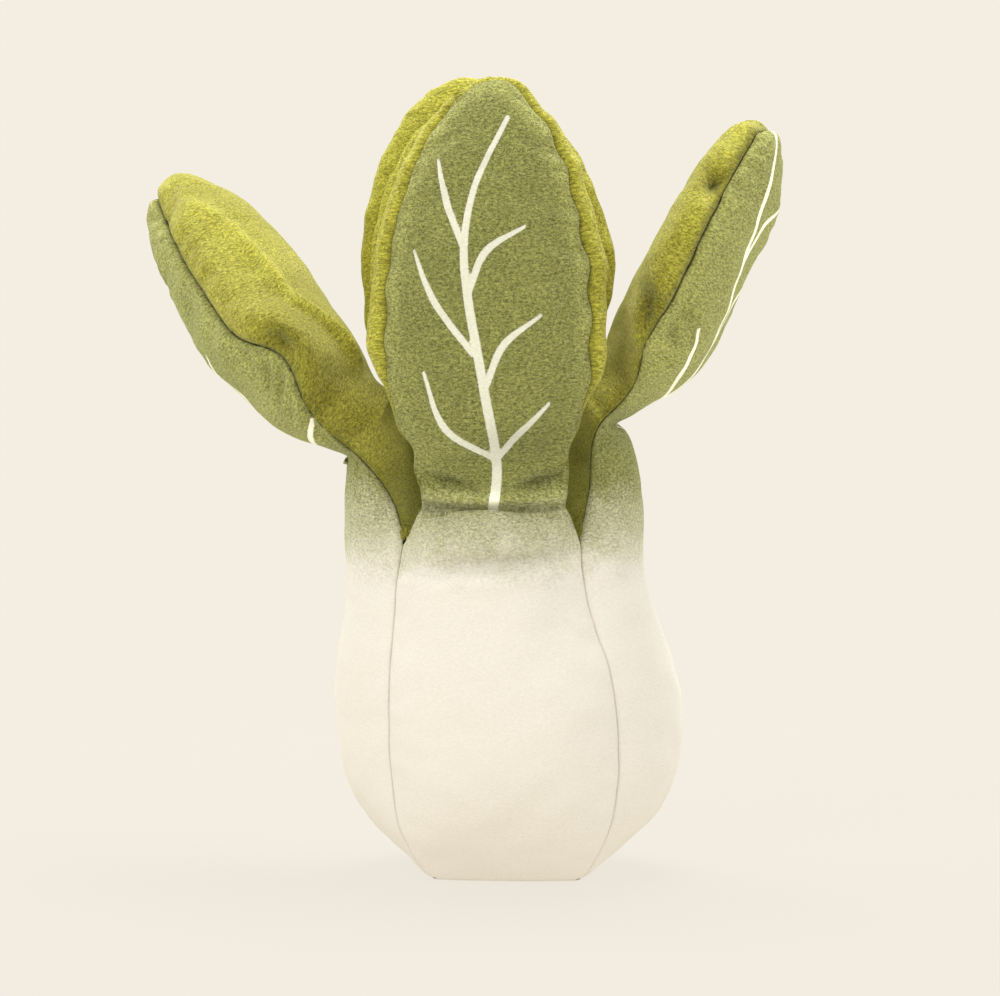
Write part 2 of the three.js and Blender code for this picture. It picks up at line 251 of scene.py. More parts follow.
def arc_row(section, side):
    angle = section["out_angle" if side == "out" else "in_angle"]
    a = np.linspace(-angle, angle, COLUMNS + 1)[:, None]
    sideways = np.sin(a) / math.sin(angle) * section["half_width"]
    rise = (np.cos(a) - math.cos(angle)) / (1 - math.cos(angle))
    return section["mid"] + section["across"] * sideways + section[side] * rise


def tip_shares(n):
    """Shares of a leaf's length for n rows, closer together towards the tip."""
    return 1 - (1 - np.arange(1, n + 1) / n) ** TIP_ROW_POWER


# ---- Cloth grids: rows of points, with the cloth's own coordinates -------------------------------
def leaf_sections(leaf, outline=LEAF_OUTLINE):
    shoulder = [shoulder_section(leaf, t) for t in np.arange(1, SHOULDER_ROWS + 1) / SHOULDER_ROWS]
    return shoulder + [leaf_section(leaf, s, outline) for s in tip_shares(LEAF_ROWS)]


def grid_of(sections, side, zero_row):
    """The grid with how far each point is across from the middle, and up from row zero_row, both in mm."""
    points = np.array([arc_row(section, side) for section in sections])
    middle = COLUMNS // 2
    up = np.r_[0, np.cumsum(np.linalg.norm(np.diff(points[:, middle], axis=0), axis=1))]
    up = np.repeat((up - up[zero_row])[:, None], COLUMNS + 1, axis=1)
    across = np.cumsum(np.linalg.norm(np.diff(points, axis=1), axis=2), axis=1)
    across = np.c_[np.zeros(len(points)), across]
    return dict(points=points, up=up, across=across - across[:, middle : middle + 1])


def cover_grid(leaf):
    heights = lerp(BASE_EDGE_Z, FORK_Z, np.arange(BODY_ROWS + 1) / BODY_ROWS)
    sections = [body_section(leaf, z) for z in heights] + leaf_sections(leaf)
    grid = grid_of(sections, "out", BODY_ROWS + SHOULDER_ROWS)
    return dict(grid, height=grid["up"] - grid["up"][BODY_ROWS, 0] + FORK_Z)


def inner_grid(leaf):
    flap = [flap_section(leaf, t) for t in np.arange(FLAP_ROWS) / FLAP_ROWS]
    sections = flap + [shoulder_section(leaf, 0)] + leaf_sections(leaf)
    return grid_of(sections, "inn", FLAP_ROWS + SHOULDER_ROWS)


def heart_grid(side):
    shares = np.r_[0, tip_shares(LEAF_ROWS)]
    return grid_of([leaf_section(HEART, s, HEART_OUTLINE) for s in shares], side, 0)


def base_grid():
    """Rings from the base seam in to the middle, flat on the floor."""
    ring = np.concatenate([arc_row(body_section(leaf, BASE_EDGE_Z), "out")[:-1] for leaf in LEAVES.values()])
    ring = np.vstack([ring, ring[:1]])
    centre = ring[:-1].mean(axis=0) * [1, 1, 0]
    shares = np.r_[1, 0.965, np.linspace(0.9, 0, 12)]
    lift = np.r_[1, 0.2, np.zeros(12)]
    return dict(points=np.array([centre + (ring - centre) * [k, k, 0] + [0, 0, BASE_EDGE_Z * h]
                                 for k, h in zip(shares, lift)]))


# ---- Refining and shaping ------------------------------------------------------------------------
def refined(values, axis):
    """Catmull-Rom steps between the rows or columns of a grid."""
    v = np.moveaxis(values, axis, 0)
    padded = np.concatenate([2 * v[:1] - v[1:2], v, 2 * v[-1:] - v[-2:-1]])
    a, b, c, d = padded[:-3], padded[1:-2], padded[2:-1], padded[3:]
    steps = []
    for t in np.arange(REFINE) / REFINE:
        bend, twist = 2 * a - 5 * b + 4 * c - d, 3 * b - a - 3 * c + d
        steps.append(0.5 * (2 * b + (c - a) * t + bend * t**2 + twist * t**3))
    out = np.stack(steps, axis=1).reshape((-1,) + v.shape[1:])
    return np.moveaxis(np.concatenate([out, v[-1:]]), 0, axis)


def normals_of(points, flip):
    n = np.cross(np.gradient(points, axis=1), np.gradient(points, axis=0))
    weak = np.linalg.norm(n, axis=-1) < 1e-4
    n = unit(n)
    for row in range(1, len(n)):
        n[row, weak[row]] = n[row - 1, weak[row]]
    return -n if flip else n


def tree_of(points):
    tree = kdtree.KDTree(len(points))
    for i, p in enumerate(points):
        tree.insert(p, i)
    tree.balance()
    return tree


def nudged(points):
    """Where the stuffing has pushed the whole leaf, seam and all: soft pushes in space."""
    total = np.zeros_like(points)
    for centre, push, reach in NUDGES:
        total += np.exp(-(((points - centre) / reach) ** 2).sum(axis=-1))[..., None] * np.array(push)
    low = np.clip(1 - points[..., 2] / TUCK_HEIGHT, 0, 1) ** 2
    total[..., :2] -= TUCK * low[..., None] * points[..., :2]
    total[..., 2] -= SETTLE * low * points[..., 2]
    return total


class Cloth:
    """One piece of cloth: a fine grid, its normals, and its seams, which it shares with its neighbours."""

    def __init__(self, name, grid, flip, seams, seed, scallop=0.5, rim=0):
        """seams takes the grid's shape and gives each seam's kind, with its points' rows and columns."""
        fine = {key: refined(refined(value, 0), 1) for key, value in grid.items()}
        self.name, self.grid, self.flip = name, fine, flip
        self.points = fine["points"] + nudged(fine["points"])
        self.seams = seams(self.points.shape)
        self.outward = [self.outward_of(kind, *index) for kind, index in self.seams]
        self.scallop(seed, scallop)
        if rim:
            self.roll_rim(rim)
        self.normals = normals_of(self.points, flip)
        self.edge = self.edge_distance()
        self.depth = np.zeros(self.points.shape[:2])
        self.fold = np.zeros(self.points.shape[:2])  # painted shade in folds, seams and hollows; painted highlight on ridges, crests and tips
        self.calm = 1.0  # how much of the lumps it has

    def outward_of(self, kind, rows, columns):
        """At a leaf's seam, the direction away from the leaf in its own plane; elsewhere nothing."""
        if kind != "leaf":
            return np.zeros((len(rows), 3))
        middle = (self.points[:, 0] + self.points[:, -1]) / 2
        along = unit(np.gradient(middle, axis=0))[rows]
        line = self.points[rows, columns]
        tangent = unit(np.gradient(line, axis=0))
        share = smooth(0.6, 1, np.linspace(0, 1, len(rows)))[:, None]
        away = unit(line - middle[rows]) * (1 - share) + along * share
        away = away - (away * tangent).sum(axis=1, keepdims=True) * tangent
        away[-1] = along[-1]
        return unit(away)

    def edge_distance(self):
        """Distance to the piece's nearest edge of any kind."""
        tree = tree_of(np.concatenate([self.points[i] for _, i in self.seams]))
        distances = [tree.find(p)[2] for p in self.points.reshape(-1, 3)]
        return np.array(distances).reshape(self.points.shape[:2])

    def scallop(self, seed, amount, reach=6.0):
        """The seam's thread draws the edge in and out. Both faces of a leaf do this alike."""
        if not any(kind == "leaf" for kind, _ in self.seams):
            return
        near, along, index = self.measure("leaf")
        outward, up = self.at_leaf_seam(index)
        to_tip = np.linalg.norm(self.points - self.points[-1, 0], axis=-1)
        shift = amount * waves(along, seed, (7, 19)) * np.exp(-near / reach)
        shift = shift * smooth(2, 12, up) * smooth(2, 10, to_tip)
        self.points = self.points + outward * shift[..., None]

    def at_leaf_seam(self, index):
        outward = np.concatenate([o for (kind, _), o in zip(self.seams, self.outward) if kind == "leaf"])
        up = np.concatenate([self.grid["up"][i] for kind, i in self.seams if kind == "leaf"])
        return outward[index], up[index]

    def roll_rim(self, rim, reach=17.0, low=6.0, high=40.0):
        """The stuffing pushes the cloth out past its seam, all round the leaf."""
        near, _, index = self.measure("leaf")
        outward, up = self.at_leaf_seam(index)
        amount = rim * np.sin(np.pi * np.clip(near / reach, 0, 1)) * smooth(low, high, up)
        self.points = self.points + outward * amount[..., None]

    def measure(self, kind):
        """Distance to the nearest seam of that kind, that seam point's place along it, and its index."""
        lines = [self.points[i] for k, i in self.seams if k == kind]
        lengths = [np.r_[0, np.cumsum(np.linalg.norm(np.diff(line, axis=0), axis=1))] for line in lines]
        along = [length + SEAM_GAP * k for k, length in enumerate(lengths)]
        tree = tree_of(np.concatenate(lines))
        found = [tree.find(p)[1:] for p in self.points.reshape(-1, 3)]
        shape = self.points.shape[:2]
        index = np.array([f[0] for f in found]).reshape(shape)
        return np.array([f[1] for f in found]).reshape(shape), np.concatenate(along)[index], index


def share_normals(cloths, reach=3.0):
    """Where pieces meet, their normals turn into one shared normal, so that a seam sinks in as one."""
    points = np.concatenate([c.points[i] for c in cloths for _, i in c.seams])
    normals = np.concatenate([
        c.normals[i] + OUTWARD_SHARE * away for c in cloths for (_, i), away in zip(c.seams, c.outward)
    ])
    tree = tree_of(points)
    shared = np.array([unit(sum(normals[i] for _, i, _ in tree.find_range(p, 0.05))) for p in points])
    start = 0
    for c in cloths:
        count = sum(len(c.points[i]) for _, i in c.seams)
        own, own_shared = points[start : start + count], shared[start : start + count]
        start += count
        own_tree = tree_of(own)
        found = [own_tree.find(p)[1:] for p in c.points.reshape(-1, 3)]
        shape = c.points.shape[:2]
        index = np.array([f[0] for f in found]).reshape(shape)
        near = bell(np.array([f[1] for f in found]).reshape(shape), reach)[..., None]
        c.normals = unit(c.normals * (1 - near) + own_shared[index] * near)


def waves(x, seed, wavelengths, count=5):
    """Uneven waves along x, between about -1 and 1."""
    rng = np.random.default_rng(seed)
    total = np.zeros_like(x)
    for _ in range(count):
        total += np.sin(2 * np.pi * (x / rng.uniform(*wavelengths) + rng.uniform()))
    return total / math.sqrt(count)


def lumps(points, seed, wavelengths, count=10):
    """Uneven soft lumps in space, between about -1 and 1."""
    rng = np.random.default_rng(seed)
    total = np.zeros(points.shape[:-1])
    for _ in range(count):
        direction = unit(rng.standard_normal(3))
        total += np.sin(2 * np.pi * (points @ direction / rng.uniform(*wavelengths) + rng.uniform()))
    return total / math.sqrt(count)


def rolled(distance, width, depth):
    """The cloth rolls over a round edge and down into the seam."""
    t = np.clip(1 - distance / width, 0, 1)
    return depth * (1 - np.sqrt(1 - t * t))


def dent(grid, across, up, length, width, depth, turn):
    """A soft hollow, its length turned by turn degrees from across. A depth below 0 makes a ridge."""
    a = math.radians(turn)
    x, y = grid["across"] - across, grid["up"] - up
    x, y = x * math.cos(a) + y * math.sin(a), y * math.cos(a) - x * math.sin(a)
    return depth * np.exp(-((x / length) ** 2) - (y / width) ** 2)


# ---- The printed veins ---------------------------------------------------------------------------
def refined_curve(p, steps=16):
    padded = np.concatenate([2 * p[:1] - p[1:2], p, 2 * p[-1:] - p[-2:-1]])
    a, b, c, d = padded[:-3], padded[1:-2], padded[2:-1], padded[3:]
    t = (np.arange(steps) / steps)[:, None, None]
    bend, twist = 2 * a - 5 * b + 4 * c - d, 3 * b - a - 3 * c + d
    made = 0.5 * (2 * b + (c - a) * t + bend * t**2 + twist * t**3)
    return np.concatenate([made.transpose(1, 0, 2).reshape(-1, 2), p[-1:]])


def line_inside(x, y, line, half_widths):
    """How far each point is inside a line of tapering width: below 0 is outside."""
    best = np.full(x.shape, -50.0)
    widths = np.interp(np.linspace(0, 1, len(line)), (0, 0.5, 1), half_widths)
    for (ax, ay), (bx, by), w in zip(line, line[1:], widths):
        dx, dy = bx - ax, by - ay
        t = np.clip(((x - ax) * dx + (y - ay) * dy) / (dx * dx + dy * dy), 0, 1)
        best = np.maximum(best, w - np.hypot(x - ax - dx * t, y - ay - dy * t))
    return best


def vein_field(grid, side):
    x, y = grid["across"], grid["up"]
    main_vein = MAIN_VEIN[:-1] if side == "left" else MAIN_VEIN
    best = line_inside(x, y, refined_curve(np.array(main_vein, float)), MAIN_HALF_WIDTH)
    for k in SIDE_VEINS_SEEN[side]:
        vein = refined_curve(np.array(SIDE_VEINS[k], float))
        best = np.maximum(best, line_inside(x, y, vein, SIDE_HALF_WIDTH))
    return best


# ---- Materials -----------------------------------------------------------------------------------
SHEEN = 0.55
PILE_DEPTH = 0.0008
TUFT_SCALE = 1.7  # of the tufts' noise, per mm of cloth
TUFT_STRETCH = 0.55  # below 1, so tufts are wider than they are tall
OMBRE_Z, SAGE_Z, GRAIN_Z = (88.0, 108.0), (107.0, 124.0), (85.0, 122.0)  # where each starts and is full
TUFTS = (0.38, 0.62)  # the part of the tufts' noise that counts, from the darkest to the palest
PAINTED_SHADE_STRENGTH = 0.5  # how much the painted shade darkens the deepest fold, and the painted highlight lightens the palest ridge
CREAM = (0.87, 0.82, 0.72, 1)
OMBRE = (0.56, 0.54, 0.33, 1)
SAGE = (0.30, 0.30, 0.085, 1)
VEIN = (0.82, 0.81, 0.64, 1)
CHARTREUSE = (0.36, 0.335, 0.042, 1)


class Nodes:
    """A short way to write a material's nodes."""

    def __init__(self, name):
        self.material = bpy.data.materials.new(name)
        self.material.use_nodes = True
        self.tree = self.material.node_tree
        self.shader = self.tree.nodes["Principled BSDF"]

    def add(self, kind, settings=(), **inputs):
        node = self.tree.nodes.new("ShaderNode" + kind)
        for key, value in dict(settings).items():
            setattr(node, key, value)
        for key, value in inputs.items():
            socket = node.inputs[int(key[1:])] if key[0] == "i" and key[1:].isdigit() else node.inputs[key]
            if isinstance(value, bpy.types.NodeSocket):
                self.tree.links.new(value, socket)
            else:
                socket.default_value = value
        return node

    def attribute(self, name):
        return self.add("Attribute", {"attribute_name": name}).outputs["Fac"]

    def coordinates(self):
        return self.add("TexCoord").outputs["Object"]

    def noise(self, scale, detail=2.0, roughness=0.6, vector=None, distortion=0.0):
        node = self.add("TexNoise", Scale=scale, Detail=detail, Roughness=roughness, Distortion=distortion)
        self.tree.links.new(vector or self.coordinates(), node.inputs["Vector"])
        return node.outputs["Fac"]

    def remap(self, value, low, high, to_low=0.0, to_high=1.0, smooth_step=False):
        kind = {"interpolation_type": "SMOOTHSTEP"} if smooth_step else {}
        node = self.add("MapRange", kind, i0=value, i1=low, i2=high, i3=to_low, i4=to_high)
        return node.outputs["Result"]

    def math(self, operation, a, b):
        return self.add("Math", {"operation": operation}, i0=a, i1=b).outputs[0]

    def mix(self, factor, a, b):
        node = self.add("Mix", {"data_type": "RGBA"}, i0=factor, i6=a, i7=b)
        return node.outputs[2]


def plush(nodes, colour, sheen_tint, grain_share=1.0, along_cloth=True):
    """Short pile: fine tufts in colour, bump and sheen, and brushed patches.

    grain_share says how much of them shows. It is a number or a socket.
    """
    vector = None
    if along_cloth:
        across = nodes.math("MULTIPLY", nodes.attribute("across"), TUFT_STRETCH)
        place_on_cloth = nodes.add("CombineXYZ", X=across, Y=nodes.attribute("up"), Z=0.0)
        vector = place_on_cloth.outputs[0]
    scale = TUFT_SCALE if along_cloth else TUFT_SCALE / MM
    tufts = nodes.noise(scale, 3.0, 0.65, vector, distortion=0.9)
    fine = nodes.noise(2600, 2.0, 0.6)
    brushed = nodes.noise(55, 2.0, 0.5)
    tuft_shade = nodes.remap(tufts, *TUFTS, 0.55, 1.42)
    fine_shade = nodes.remap(fine, 0.35, 0.65, 0.76, 1.24)
    shade = nodes.math("MULTIPLY", tuft_shade, fine_shade)
    shade = nodes.math("MULTIPLY", shade, nodes.remap(brushed, 0.3, 0.7, 0.93, 1.06))
    change = nodes.math("MULTIPLY", nodes.math("SUBTRACT", shade, 1.0), grain_share)
    # Painted shade in folds and seams and painted highlight on ridges and tips scale the base colour.
    painted_shading_factor = nodes.remap(nodes.attribute("fold"), -1.0, 1.0, 1.0 + PAINTED_SHADE_STRENGTH, 1.0 - PAINTED_SHADE_STRENGTH)
    shaded = nodes.add("VectorMath", {"operation": "SCALE"}, i0=colour)
    shade_scale = nodes.math("MULTIPLY", nodes.math("ADD", change, 1.0), painted_shading_factor)
    nodes.tree.links.new(shade_scale, shaded.inputs["Scale"])
    height = nodes.math("ADD", nodes.math("MULTIPLY", fine, 0.4), tufts)
    height = nodes.math("MULTIPLY", height, grain_share)
    bump = nodes.add("Bump", Strength=0.9, Distance=PILE_DEPTH, Height=height)
    shader = nodes.shader.inputs
    nodes.tree.links.new(shaded.outputs[0], shader["Base Color"])
    nodes.tree.links.new(bump.outputs["Normal"], shader["Normal"])
    nodes.tree.links.new(nodes.remap(tufts, 0.2, 0.8, 0.82, 1.0), shader["Roughness"])
    shader["Specular IOR Level"].default_value = 0.15
    if isinstance(grain_share, bpy.types.NodeSocket):
        tuft_sheen = nodes.remap(tufts, *TUFTS, 0.5 * SHEEN, 1.5 * SHEEN)
        nodes.tree.links.new(nodes.math("MULTIPLY", tuft_sheen, grain_share), shader["Sheen Weight"])
    else:
        shader["Sheen Weight"].default_value = grain_share * SHEEN
    shader["Sheen Roughness"].default_value = 0.4
    shader["Sheen Tint"].default_value = sheen_tint
    return nodes.material


def printed_plush():
    nodes = Nodes("printed_plush")
    spray = nodes.math("ADD", nodes.noise(900, 3.0, 0.7), nodes.noise(140, 2.0, 0.5))
    height = nodes.math("ADD", nodes.attribute("cloth_height"), nodes.remap(spray, 0.6, 1.4, -5.0, 5.0))
    ombre = nodes.mix(nodes.remap(height, *OMBRE_Z, smooth_step=True), CREAM, OMBRE)
    leaf = nodes.mix(nodes.remap(height, *SAGE_Z, smooth_step=True), ombre, SAGE)
    ragged_edge = nodes.remap(nodes.noise(1500, 2.0, 0.6), 0.2, 0.8, -0.14, 0.14)
    ragged = nodes.math("ADD", nodes.attribute("vein"), ragged_edge)
    inside_vein = nodes.remap(ragged, -0.18, 0.18, smooth_step=True)
    colour = nodes.mix(inside_vein, leaf, VEIN)
    greenness = nodes.remap(height, *GRAIN_Z, 0.07, 1.0, smooth_step=True)
    grain = nodes.math("MULTIPLY", greenness, nodes.remap(inside_vein, 0.0, 1.0, 1.0, 0.15))
    return plush(nodes, colour, (0.94, 0.95, 0.52, 1), grain)


def plain_plush(name, colour, sheen_tint, grain_share=1.0, along_cloth=True):
    nodes = Nodes(name)
    paler = tuple(c * 0.9 for c in colour[:3]) + (1,)
    rgb = nodes.mix(nodes.remap(nodes.noise(30, 2.0, 0.5), 0.35, 0.65), colour, paler)
    return plush(nodes, rgb, sheen_tint, grain_share, along_cloth)


# ---- Pieces --------------------------------------------------------------------------------------
def mesh_piece(name, points, material, attributes, flip):
    rows, columns = points.shape[:2]
    i = np.arange(rows * columns).reshape(rows, columns)
    a, b, c, d = i[:-1, :-1].ravel(), i[:-1, 1:].ravel(), i[1:, 1:].ravel(), i[1:, :-1].ravel()
    quads = np.stack([a, d, c, b] if flip else [a, b, c, d], axis=1)
    mesh = bpy.data.meshes.new(name)
    mesh.from_pydata((points.reshape(-1, 3) * MM).tolist(), [], quads.tolist())
    for key, values in attributes.items():
        layer = mesh.attributes.new(key, "FLOAT", "POINT")
        layer.data.foreach_set("value", values.ravel().astype(np.float32))
    mesh.polygons.foreach_set("use_smooth", [True] * len(mesh.polygons))
    mesh.materials.append(material)
    piece = bpy.data.objects.new(name, mesh)
    bpy.context.scene.collection.objects.link(piece)
    weld = piece.modifiers.new("weld", "WELD")
    weld.merge_threshold = WELD_REACH
    thick = piece.modifiers.new("cloth", "SOLIDIFY")
    thick.thickness = CLOTH_THICKNESS
    thick.offset = -1
    group = piece.vertex_groups.new(name="cloth")
    steps = np.round(np.clip(attributes["seam_distance"].ravel() / THIN_REACH, THINNEST, 1), 2)
    for weight in np.unique(steps):
        group.add(np.nonzero(steps == weight)[0].tolist(), float(weight), "REPLACE")
    thick.vertex_group = "cloth"
    return piece


CLOTH_THICKNESS, WELD_REACH = 0.0012, 0.00002  # in metres
THIN_REACH, THINNEST = 3, 0.08  # the cloth thins to this share at a seam, over this many mm
LEAF_ROLL, BODY_ROLL, BASE_ROLL = (3.2, 1.8), (2.8, 0.5), (4.0, 0.15)  # width and depth of each seam's roll
LARGE_LUMPS, SMALL_LUMPS = (0.6, (26, 48)), (0.15, (9, 16))  # height, and wavelengths
TUCK, TUCK_HEIGHT = 0.09, 9.0  # how far the body turns in at the floor, and over what height
SETTLE = 0.75  # how far the lowest cloth sinks towards the floor, as a share of its height
SIM_SCALE, SIM_FRAMES = 0.01, 20  # ten times life size
PRESSURE = 4.0
LEAST_ROW_WIDTH = 1.0
SLACK = 0.05  # how much larger the cloth is than the space between its seams
WRINKLE_BLUR, WRINKLE_CAP = 30, 1.2  # blur passes that leave the swell alone, and the most that is kept
RIMS = dict(front=3.6, right=2.2, back=4.2, left=3.0)  # how far an inner face stands past its seam
HEART_RIM = 2.0
# Soft pushes that bend the stuffed toy, seam and all: (centre), (how far), (reach each way).
NUDGES = [
    ((-68, -27, 153), (5, 0, 7.5), (14, 18, 12)),
    ((-80, -5, 141), (4, 0, 4.5), (13, 25, 12)),
    ((75, 8, 177), (-4, 0, 2), (11, 30, 17)),
    ((-107, 34, 201), (1.5, 0, -3), (8, 25, 8)),
    ((44, -32, 160), (-4.5, 0, -1), (11, 16, 12)),
    ((18, -32, 119), (3, 0, 0), (7, 20, 12)),
]
# Heights up the left leaf's inner face, and how far across its ridge is at each.
RIDGE = ((0, 23, 41, 68, 100), (2, 10, 23, 25, 21))
# Hollows in each piece: (across, up, half length, half width, depth, turn, how much painted shade).
DENTS = {
    "cover_front": [
        (-11, 7.5, 8, 1.9, 2.4, -14, 0.36), (15, 7.5, 7, 2.2, 2.8, 18, 0.36),
        (0, 3.4, 26, 1.9, -1.4, 0, 0.7), (-2, 14, 14, 3, 0.6, 0, 0.3), (11, 20, 14, 6, 0.7, 0, 0.7),
        (4, -18.5, 24, 2.4, 2.6, 5, 0.1), (4, -23.5, 26, 3, -0.8, 5, 0.1),
    ],
    "cover_left": [
        (29, 36, 9, 1.7, 2.1, 35, 0.4), (27, 29, 9, 1.6, 2.1, 28, 0.4),
        (31, 44, 8, 1.8, 1.6, 40, 0.36), (23, 22, 8, 2, 1.4, 20, 0.36),
    ],
    "cover_right": [
        (-26, 44, 8, 2.2, 1.5, -30, 0.36), (-27, 37, 6, 2.2, 1.6, -35, 0.36),
        (-22, 66, 6, 3, 0.8, -20, 0.36),
    ],
    "inner_face_right": [(-31, 71, 6, 3.6, 4.8, 10, 0.36), (-38, 32, 8, 4.2, 5.0, 10, 0.36)],
    "inner_face_left": [
        (24, 46, 10, 5, 1.0, 0, 0.3), (42, 33, 6, 4, 2.4, 20, 0.36), (12, 12, 14, 4, 1.2, 30, 0.36),
    ],
}
# Painted highlight towards a piece's tip: how much, and from what height up to what height.
PAINTED_TIP_HIGHLIGHT = dict(
    cover_left=(0.8, 0, 14), cover_right=(0.95, 0, 14),
    inner_face_left=(0.25, 20, 70), inner_face_right=(0.2, 30, 70),
    inner_face_front=(1.0, 10, 50), inner_face_back=(1.1, 10, 50),
    heart_leaf_inner_face=(0.8, 10, 50), heart_leaf_outer_face=(0.8, 10, 50),
)


def cover_seams(shape):
    fork = BODY_ROWS * REFINE
    rows, low = np.arange(fork, shape[0]), np.arange(0, fork + 1)
    columns = np.arange(shape[1])
    first, last = 0, shape[1] - 1
    return [
        ("leaf", (rows, np.full(len(rows), first))), ("leaf", (rows, np.full(len(rows), last))),
        ("body", (low, np.full(len(low), first))), ("body", (low, np.full(len(low), last))),
        ("base", (np.zeros(len(columns), int), columns)),
    ]


def inner_seams(shape):
    fork = FLAP_ROWS * REFINE
    rows, low = np.arange(fork, shape[0]), np.arange(0, fork + 1)
    first, last = 0, shape[1] - 1
    return [
        ("leaf", (rows, np.full(len(rows), first))), ("leaf", (rows, np.full(len(rows), last))),
        ("throat", (low, np.full(len(low), first))), ("throat", (low, np.full(len(low), last))),
    ]


def heart_seams(shape):
    rows = np.arange(shape[0])
    return [("leaf", (rows, np.zeros(len(rows), int))), ("leaf", (rows, np.full(len(rows), shape[1] - 1)))]


def base_seams(shape):
    columns = np.arange(shape[1])
    return [("base", (np.zeros(len(columns), int), columns))]


def shape_leaf(cloth, seed, pucker, reach, wavelengths=(9, 19)):
    """The seam round a leaf: the cloth rolls into it, and puckers next to it."""
    near, along, _ = cloth.measure("leaf")
    cloth.near = near
    cloth.depth += rolled(near, *LEAF_ROLL)
    # Painted shade darkens the seam line; a painted highlight lightens a band a few mm beside it.
    painted_edge_highlight = bell(near - 4.5, 2.4) * smooth(20, 50, cloth.grid["up"])
    cloth.fold += 0.55 * bell(near, 1.6) - 0.6 * painted_edge_highlight
    puckers = waves(along, seed, wavelengths) * np.exp(-near / reach) * smooth(0, 3, cloth.edge)
    cloth.depth += pucker * puckers
    # Painted shade in the puckers' hollows, painted highlight on their crests.
    cloth.fold += 0.15 * puckers


def shape_cover(cloth, seed):
    shape_leaf(cloth, seed, 0.6, 5)
    body, along, _ = cloth.measure("body")
    base, _, _ = cloth.measure("base")
    cloth.depth += rolled(body, *BODY_ROLL) + rolled(base, *BASE_ROLL)
    # Painted shade along the body seams.
    cloth.fold += 0.05 * bell(body, 1.3)
    cloth.depth += 0.22 * waves(along, seed + 1, (7, 15)) * np.exp(-body / 5) * smooth(0, 3, cloth.edge)
    up = cloth.grid["up"]
    crease = 2.0 if cloth.name in ("cover_front", "cover_back") else 0.0
    cloth.depth += crease * (bell(up, 1.1) * smooth(0, 2.5, cloth.edge))
    # Painted shade just under the crease, fading out across the cover.
    cloth.fold += 0.16 * crease * bell(up + 1.0, 1.4) * smooth(-30, 20, -cloth.grid["across"])
    cloth.calm = smooth(0, 12, base)


def shape_inner(cloth, seed):
    shape_leaf(cloth, seed, 0.45, 9, (16, 34))
    grid = cloth.grid
    ridge = 2.6 if cloth.name == "inner_face_left" else 0.6
    middle = np.interp(grid["up"], *RIDGE) if cloth.name == "inner_face_left" else 0
    line = bell(grid["across"] - middle, 2.8) * smooth(6, 24, grid["up"]) * smooth(4, 24, cloth.near)
    cloth.depth -= ridge * line
    # Painted highlight along the ridge.
    cloth.fold -= 0.3 * ridge * line


def blurred(values, passes):
    """Soft averages over a grid."""
    for _ in range(passes):
        for axis in (0, 1):
            v = np.moveaxis(values, axis, 0)
            v = np.concatenate([v[:1], v, v[-1:]])
            values = np.moveaxis(0.25 * v[:-2] + 0.5 * v[1:-1] + 0.25 * v[2:], 0, axis)
    return values


def cloth_object(name, points, flip):
    """A piece as a cloth sheet whose edges are sewn fast, ready for the stuffing's pressure."""
    rows, columns = points.shape[:2]
    index = np.arange(rows * columns).reshape(rows, columns)
    corners = [index[:-1, :-1], index[:-1, 1:], index[1:, 1:], index[1:, :-1]]
    faces = np.stack(corners[::-1] if flip else corners, axis=-1).reshape(-1, 4)
    mesh = bpy.data.meshes.new("sim_" + name)
    mesh.from_pydata((points.reshape(-1, 3) * SIM_SCALE).tolist(), [], faces.tolist())
    sheet = bpy.data.objects.new("sim_" + name, mesh)
    bpy.context.scene.collection.objects.link(sheet)
    sewn = sheet.vertex_groups.new(name="sewn")
    sewn.add(np.unique(np.r_[index[0], index[-1], index[:, 0], index[:, -1]]).tolist(), 1.0, "REPLACE")
    cloth = sheet.modifiers.new("cloth", "CLOTH")
    settings = cloth.settings
    settings.quality = 6
    settings.vertex_group_mass = "sewn"
    settings.use_pressure = True
    settings.uniform_pressure_force = PRESSURE
    settings.tension_stiffness = settings.compression_stiffness = 15.0
    settings.shear_stiffness = 5.0
    settings.bending_stiffness = 0.3
    settings.shrink_min = settings.shrink_max = -SLACK
    settings.effector_weights.gravity = 0
    cloth.collision_settings.use_collision = False
    cloth.point_cache.frame_end = SIM_FRAMES
    return sheet


def simulated(pieces):
    """How far the stuffing's pressure wrinkles each piece, in mm, with its overall swell left out."""
    scene = bpy.context.scene
    # Rows that close to a point are left out: with springs of no length the solver moves nothing.
    widths = {name: np.ptp(points, axis=1).max(axis=1) for name, (points, _) in pieces.items()}
    wide = {name: width > LEAST_ROW_WIDTH for name, width in widths.items()}
    sheets = {name: cloth_object(name, points[wide[name]], flip) for name, (points, flip) in pieces.items()}
    graph = bpy.context.evaluated_depsgraph_get()
    for step in range(1, SIM_FRAMES + 1):
        scene.frame_set(step)
        graph.update()
    wrinkles = {}
    for name, sheet in sheets.items():
        points, flip = pieces[name]
        rows = wide[name]
        points = points[rows]
        moved = np.empty(points.size)
        sheet.evaluated_get(graph).data.vertices.foreach_get("co", moved)
        moved = moved.reshape(points.shape) / SIM_SCALE - points
        lift = (moved * normals_of(points, flip)).sum(axis=-1)
        wrinkle = lift - blurred(lift, WRINKLE_BLUR)
        wrinkles[name] = np.zeros((len(rows), points.shape[1]))
        wrinkles[name][rows] = WRINKLE_CAP * np.tanh(wrinkle / WRINKLE_CAP)
    scene.frame_set(1)
    for sheet in sheets.values():
        mesh = sheet.data
        bpy.data.objects.remove(sheet)
        bpy.data.meshes.remove(mesh)
    return wrinkles


